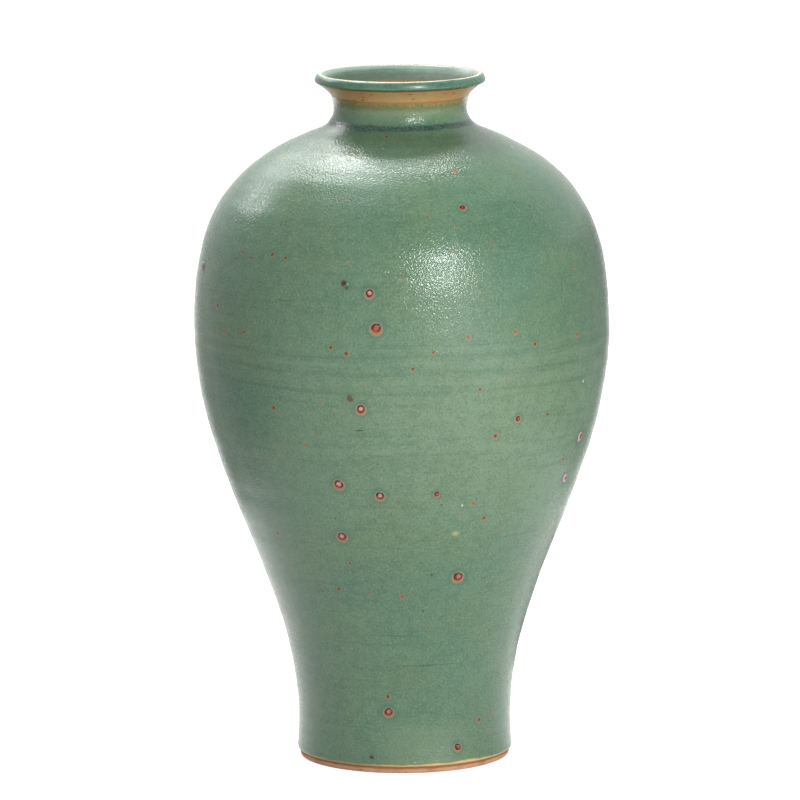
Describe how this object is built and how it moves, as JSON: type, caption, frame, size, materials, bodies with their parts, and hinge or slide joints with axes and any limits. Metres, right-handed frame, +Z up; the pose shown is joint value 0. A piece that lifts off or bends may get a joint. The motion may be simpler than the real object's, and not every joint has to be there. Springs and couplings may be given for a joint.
{
  "type": "meiping vase",
  "caption": "Tall stoneware vase with a narrow foot, high swelling belly, round shoulder and short everted neck, green glazed and iron spotted, for holding a branch of blossom.",
  "frame": {"origin": "centre of the foot ring, on the surface that the vase stands on", "axes": "+Z up the turning axis towards the mouth, -Y towards the front"},
  "size_m": [0.1808, 0.1808, 0.3],
  "materials": {
    "stoneware": "bare, toasted brown",
    "slip": "bare",
    "green_glaze": "satin",
    "lip_glaze": "satin",
    "liner_glaze": "satin",
    "iron_bead": "gloss"
  },
  "bodies": {
    "root": {"lower_section": "stoneware", "upper_section": "stoneware", "neck_section": "stoneware", "belly_lute": "slip", "neck_lute": "slip", "body_glaze": "green_glaze", "lip_glaze": "lip_glaze", "liner_glaze": "liner_glaze", "iron_nodules": "iron_bead"}
  },
  "joints": []
}
